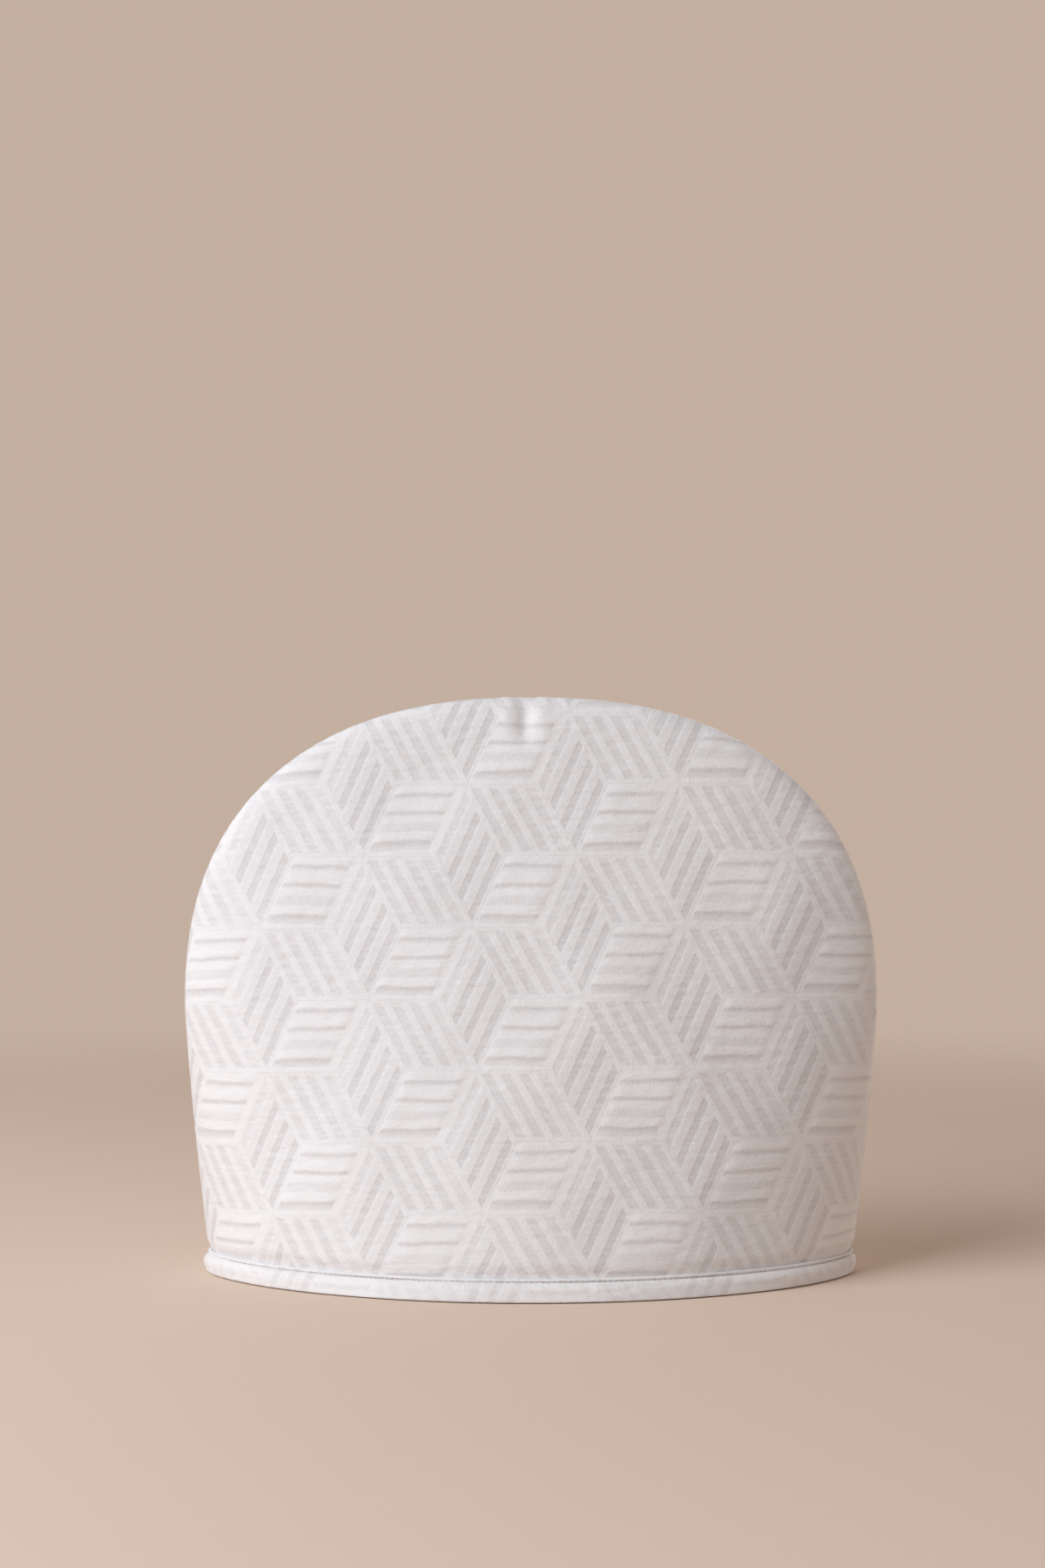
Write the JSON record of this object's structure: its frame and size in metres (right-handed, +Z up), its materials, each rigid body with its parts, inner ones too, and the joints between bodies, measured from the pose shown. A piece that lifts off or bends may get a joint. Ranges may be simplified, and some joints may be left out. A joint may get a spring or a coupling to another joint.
{
  "type": "tea cosy",
  "caption": "Padded arch-shaped tea cosy in white-on-white geometric jacquard, open below, with a bound and top-stitched hem.",
  "frame": {"origin": "middle of the flat underside of the bound hem, at the bottom centre of the bounding box", "axes": "+X across the arch, in the seam plane; -Y towards the front panel; +Z up to the top of the arch"},
  "size_m": [0.3302, 0.1696, 0.2738],
  "materials": {
    "jacquard": "white cotton jacquard, matt ground with slightly glossy satin bars",
    "binding": "strip of the same white jacquard, folded and top-stitched in white thread"
  },
  "bodies": {
    "root": {"front_panel": "jacquard", "back_panel": "jacquard", "hem_binding": "binding"}
  },
  "joints": []
}
